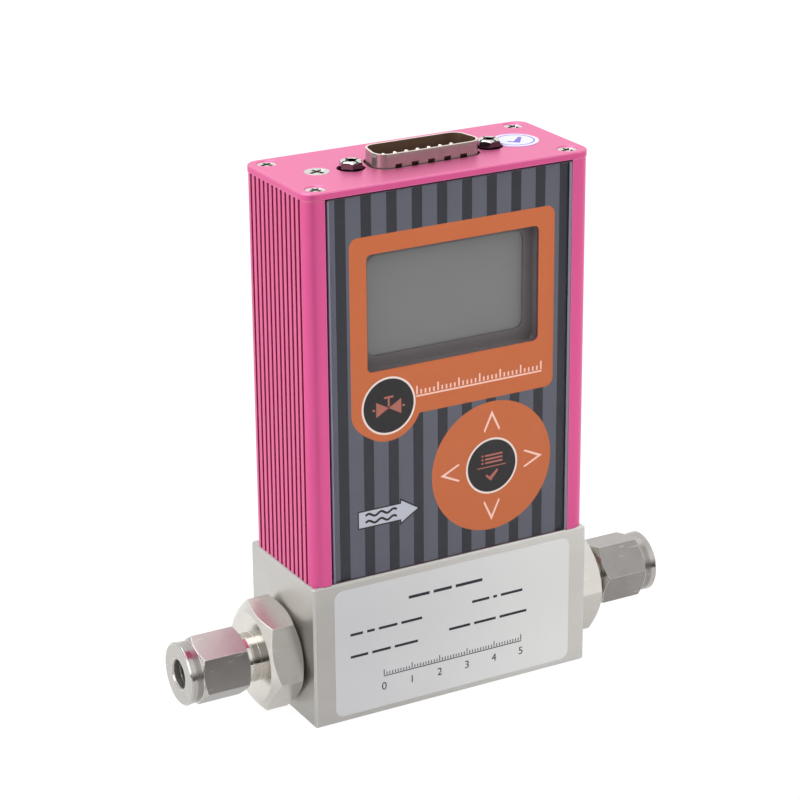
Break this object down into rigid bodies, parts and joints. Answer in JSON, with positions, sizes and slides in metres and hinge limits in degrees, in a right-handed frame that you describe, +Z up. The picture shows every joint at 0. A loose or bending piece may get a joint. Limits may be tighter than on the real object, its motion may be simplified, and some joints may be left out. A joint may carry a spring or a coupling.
{
  "type": "portable mass flow meter",
  "caption": "Gas mass flow meter: steel flow block with compression fittings at both ends, pink ribbed case, window and printed keypad, plug connector on top.",
  "frame": {"origin": "centre of the base block's underside, where the meter stands", "axes": "+X along the flow, from inlet to outlet; +Y to the back, so the display faces -Y; +Z up through the case"},
  "size_m": [0.1196, 0.0301, 0.1234],
  "materials": {
    "stainless_ground": "ground stainless steel, fine grain",
    "stainless_turned": "turned and polished stainless steel",
    "rubber_black": "moulded seal",
    "copper_wire": "fine enamelled wire, wound",
    "aluminium_plain": "bare aluminium",
    "nickel": "bright nickel plating",
    "polyimide": "flexible circuit film",
    "anodised_pink": "satin magenta-pink anodising",
    "film_clear": "clear polyester film, soft gloss",
    "ink_grey": "grey print behind the film",
    "ink_charcoal": "charcoal print behind the film",
    "ink_orange": "orange print behind the film",
    "ink_black": "black print behind the film",
    "ink_white": "white print behind the film",
    "ink_silver": "silver-grey print behind the film",
    "foam_black": "closed-cell foam",
    "display_grey": "unlit liquid crystal glass, grey",
    "plastic_black": "moulded, fine grain",
    "board_green": "solder-masked circuit board",
    "gold_plate": "gold-plated contacts",
    "plastic_grey": "moulded, satin",
    "label_white": "printed label stock, satin",
    "seal_paper": "printed paper seal"
  },
  "bodies": {
    "meter": {"base_block": "stainless_ground", "inlet_fitting_body": "stainless_turned", "outlet_fitting_body": "stainless_turned", "inlet_nut": "stainless_turned", "outlet_nut": "stainless_turned", "inlet_front_ferrule": "stainless_turned", "outlet_front_ferrule": "stainless_turned", "inlet_back_ferrule": "stainless_turned", "outlet_back_ferrule": "stainless_turned", "port_seals": "rubber_black", "laminar_element": "stainless_turned", "sensor_seals": "rubber_black", "sensor_base": "stainless_ground", "sensor_tube": "stainless_turned", "sensor_coils": "copper_wire", "sensor_cover": "aluminium_plain", "sensor_screws": "nickel", "sensor_lead": "polyimide", "housing": "anodised_pink", "lid": "anodised_pink", "left_pillar": "nickel", "right_pillar": "nickel", "lid_screws": "nickel", "pillar_screws": "nickel", "front_film": "film_clear", "print_ground": "ink_grey", "print_stripes": "ink_charcoal", "print_orange": "ink_orange", "print_key_discs": "ink_black", "print_key_rings": "ink_white", "print_chevrons": "ink_white", "print_flow_arrow": "ink_silver", "print_arrow_edge": "ink_black", "display_gasket": "foam_black", "display_glass": "display_grey", "display_frame": "plastic_black", "display_board": "board_green", "key_switches": "plastic_black", "board_header": "plastic_black", "board_header_pins": "gold_plate", "board_spacers": "plastic_grey", "board_screws": "nickel", "main_board": "board_green", "controller_chip": "plastic_black", "power_coil": "plastic_grey", "capacitors": "aluminium_plain", "connector_shell": "nickel", "connector_back_plate": "nickel", "connector_insulator": "plastic_black", "connector_pins": "gold_plate", "jack_screws": "nickel", "jack_nuts": "nickel", "name_label": "label_white", "screw_seal": "seal_paper"},
    "menu_key": {"key_plunger_menu": "plastic_grey"},
    "valve_key": {"key_plunger_valve": "plastic_grey"},
    "right_key": {"key_plunger_right": "plastic_grey"},
    "up_key": {"key_plunger_up": "plastic_grey"},
    "left_key": {"key_plunger_left": "plastic_grey"},
    "down_key": {"key_plunger_down": "plastic_grey"}
  },
  "joints": [
    {"name": "menu_press", "type": "slide", "parent": "meter", "child": "menu_key", "axis": [0, 1, 0], "range_m": [0, 0.00025], "stiffness_N_per_m": 200, "springref_m": -0.0005},
    {"name": "valve_press", "type": "slide", "parent": "meter", "child": "valve_key", "axis": [0, 1, 0], "range_m": [0, 0.00025], "stiffness_N_per_m": 200, "springref_m": -0.0005},
    {"name": "right_press", "type": "slide", "parent": "meter", "child": "right_key", "axis": [0, 1, 0], "range_m": [0, 0.00025], "stiffness_N_per_m": 200, "springref_m": -0.0005},
    {"name": "up_press", "type": "slide", "parent": "meter", "child": "up_key", "axis": [0, 1, 0], "range_m": [0, 0.00025], "stiffness_N_per_m": 200, "springref_m": -0.0005},
    {"name": "left_press", "type": "slide", "parent": "meter", "child": "left_key", "axis": [0, 1, 0], "range_m": [0, 0.00025], "stiffness_N_per_m": 200, "springref_m": -0.0005},
    {"name": "down_press", "type": "slide", "parent": "meter", "child": "down_key", "axis": [0, 1, 0], "range_m": [0, 0.00025], "stiffness_N_per_m": 200, "springref_m": -0.0005}
  ]
}
